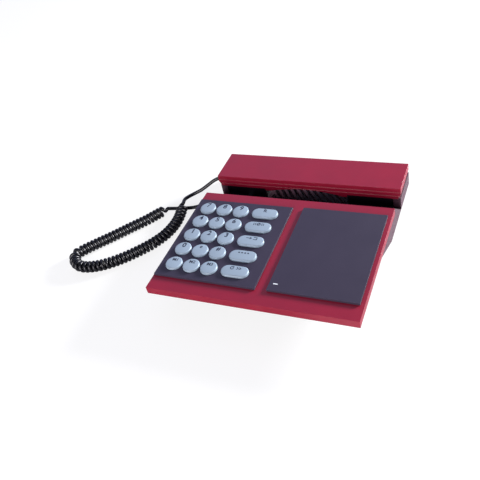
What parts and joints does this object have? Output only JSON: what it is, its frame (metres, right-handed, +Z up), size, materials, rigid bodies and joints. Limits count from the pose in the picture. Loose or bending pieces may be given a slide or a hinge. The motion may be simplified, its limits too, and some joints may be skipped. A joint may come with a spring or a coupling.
{
  "type": "desk telephone",
  "caption": "Flat push-button desk telephone: thin key deck on a wedge base, handset lying level behind it, curly cord at the side.",
  "frame": {"origin": "on the table, under the middle of the telephone's base, its cord left out", "axes": "+X to the right, +Y from the key deck to the handset, +Z up"},
  "size_m": [0.3471, 0.23, 0.0388],
  "materials": {
    "red_plastic": "fine satin moulding, raspberry red",
    "dark_housing": "fine texture, warm dark grey",
    "black_plastic": "satin black",
    "plate_paint": "fine matt blue-grey finish on moulded plastic",
    "key_plastic": "satin pale blue-grey",
    "lens": "clear diffusing white",
    "lamp": "red diffused",
    "silicone": "grey silicone",
    "circuit_board": "green resist",
    "black_steel": "black baked paint",
    "steel": "bright zinc",
    "transformer": "varnished laminations",
    "capacitor": "sleeved",
    "ribbon": "grey ribbon",
    "rubber": "black rubber",
    "cord_plastic": "glossy blue-black PVC"
  },
  "bodies": {
    "base": {"lower_housing": "dark_housing", "base_plate": "black_steel", "top_cover": "red_plastic", "keypad_plate": "plate_paint", "blank_plate": "plate_paint", "indicator_lens": "lens", "indicator_lamp": "lamp", "key_mat": "silicone", "keypad_board": "circuit_board", "main_board": "circuit_board", "dialler_chip": "black_plastic", "line_transformer": "transformer", "capacitors": "capacitor", "ribbon_cable": "ribbon", "ringer_speaker": "black_plastic", "hook_switch": "black_plastic", "hook_pin": "steel", "hook_spring": "steel", "rubber_feet": "rubber", "case_screws": "steel", "plate_screws": "steel", "cord_grommet": "rubber", "line_gland": "rubber", "handset_lead": "cord_plastic", "curly_cord": "cord_plastic", "base_lead": "cord_plastic"},
    "handset": {"handset_top_shell": "red_plastic", "handset_lower_shell": "black_plastic", "earpiece_capsule": "black_plastic", "microphone_capsule": "black_plastic", "handset_weight": "steel", "handset_board": "circuit_board", "handset_screws": "steel", "handset_boot": "rubber"},
    "hook": {"hook_lever": "steel"},
    "key_7": {"key_7": "key_plastic"},
    "key_8": {"key_8": "key_plastic"},
    "key_9": {"key_9": "key_plastic"},
    "key_recall": {"key_recall": "key_plastic"},
    "key_4": {"key_4": "key_plastic"},
    "key_5": {"key_5": "key_plastic"},
    "key_6": {"key_6": "key_plastic"},
    "key_mute": {"key_mute": "key_plastic"},
    "key_1": {"key_1": "key_plastic"},
    "key_2": {"key_2": "key_plastic"},
    "key_3": {"key_3": "key_plastic"},
    "key_store": {"key_store": "key_plastic"},
    "key_0": {"key_0": "key_plastic"},
    "key_star": {"key_star": "key_plastic"},
    "key_hash": {"key_hash": "key_plastic"},
    "key_code": {"key_code": "key_plastic"},
    "key_m1": {"key_m1": "key_plastic"},
    "key_m2": {"key_m2": "key_plastic"},
    "key_m3": {"key_m3": "key_plastic"},
    "key_redial": {"key_redial": "key_plastic"}
  },
  "joints": [
    {"name": "handset_lift", "type": "slide", "parent": "base", "child": "handset", "axis": [0, 0, 1], "range_m": [0, 0.06], "deforming": ["handset_lead", "curly_cord"]},
    {"name": "hook_lever_pivot", "type": "hinge", "parent": "base", "child": "hook", "pos_m": [-0.07, 0.05, 0.009], "axis": [1, 0, 0], "range_deg": [0, 4], "deforming": ["hook_spring"]},
    {"name": "key_7_press", "type": "slide", "parent": "base", "child": "key_7", "axis": [0, 0, -1], "range_m": [0, 0.0015], "stiffness_N_per_m": 250, "springref_m": -0.0012, "deforming": ["key_mat"]},
    {"name": "key_8_press", "type": "slide", "parent": "base", "child": "key_8", "axis": [0, 0, -1], "range_m": [0, 0.0015], "stiffness_N_per_m": 250, "springref_m": -0.0012},
    {"name": "key_9_press", "type": "slide", "parent": "base", "child": "key_9", "axis": [0, 0, -1], "range_m": [0, 0.0015], "stiffness_N_per_m": 250, "springref_m": -0.0012},
    {"name": "key_recall_press", "type": "slide", "parent": "base", "child": "key_recall", "axis": [0, 0, -1], "range_m": [0, 0.0015], "stiffness_N_per_m": 250, "springref_m": -0.0012},
    {"name": "key_4_press", "type": "slide", "parent": "base", "child": "key_4", "axis": [0, 0, -1], "range_m": [0, 0.0015], "stiffness_N_per_m": 250, "springref_m": -0.0012},
    {"name": "key_5_press", "type": "slide", "parent": "base", "child": "key_5", "axis": [0, 0, -1], "range_m": [0, 0.0015], "stiffness_N_per_m": 250, "springref_m": -0.0012},
    {"name": "key_6_press", "type": "slide", "parent": "base", "child": "key_6", "axis": [0, 0, -1], "range_m": [0, 0.0015], "stiffness_N_per_m": 250, "springref_m": -0.0012},
    {"name": "key_mute_press", "type": "slide", "parent": "base", "child": "key_mute", "axis": [0, 0, -1], "range_m": [0, 0.0015], "stiffness_N_per_m": 250, "springref_m": -0.0012},
    {"name": "key_1_press", "type": "slide", "parent": "base", "child": "key_1", "axis": [0, 0, -1], "range_m": [0, 0.0015], "stiffness_N_per_m": 250, "springref_m": -0.0012},
    {"name": "key_2_press", "type": "slide", "parent": "base", "child": "key_2", "axis": [0, 0, -1], "range_m": [0, 0.0015], "stiffness_N_per_m": 250, "springref_m": -0.0012},
    {"name": "key_3_press", "type": "slide", "parent": "base", "child": "key_3", "axis": [0, 0, -1], "range_m": [0, 0.0015], "stiffness_N_per_m": 250, "springref_m": -0.0012},
    {"name": "key_store_press", "type": "slide", "parent": "base", "child": "key_store", "axis": [0, 0, -1], "range_m": [0, 0.0015], "stiffness_N_per_m": 250, "springref_m": -0.0012},
    {"name": "key_0_press", "type": "slide", "parent": "base", "child": "key_0", "axis": [0, 0, -1], "range_m": [0, 0.0015], "stiffness_N_per_m": 250, "springref_m": -0.0012},
    {"name": "key_star_press", "type": "slide", "parent": "base", "child": "key_star", "axis": [0, 0, -1], "range_m": [0, 0.0015], "stiffness_N_per_m": 250, "springref_m": -0.0012},
    {"name": "key_hash_press", "type": "slide", "parent": "base", "child": "key_hash", "axis": [0, 0, -1], "range_m": [0, 0.0015], "stiffness_N_per_m": 250, "springref_m": -0.0012},
    {"name": "key_code_press", "type": "slide", "parent": "base", "child": "key_code", "axis": [0, 0, -1], "range_m": [0, 0.0015], "stiffness_N_per_m": 250, "springref_m": -0.0012},
    {"name": "key_m1_press", "type": "slide", "parent": "base", "child": "key_m1", "axis": [0, 0, -1], "range_m": [0, 0.0015], "stiffness_N_per_m": 250, "springref_m": -0.0012},
    {"name": "key_m2_press", "type": "slide", "parent": "base", "child": "key_m2", "axis": [0, 0, -1], "range_m": [0, 0.0015], "stiffness_N_per_m": 250, "springref_m": -0.0012},
    {"name": "key_m3_press", "type": "slide", "parent": "base", "child": "key_m3", "axis": [0, 0, -1], "range_m": [0, 0.0015], "stiffness_N_per_m": 250, "springref_m": -0.0012},
    {"name": "key_redial_press", "type": "slide", "parent": "base", "child": "key_redial", "axis": [0, 0, -1], "range_m": [0, 0.0015], "stiffness_N_per_m": 250, "springref_m": -0.0012}
  ],
  "couplings": [
    {"joint": "hook_lever_pivot", "follows": "handset_lift", "rad_per_m": 1.16}
  ]
}
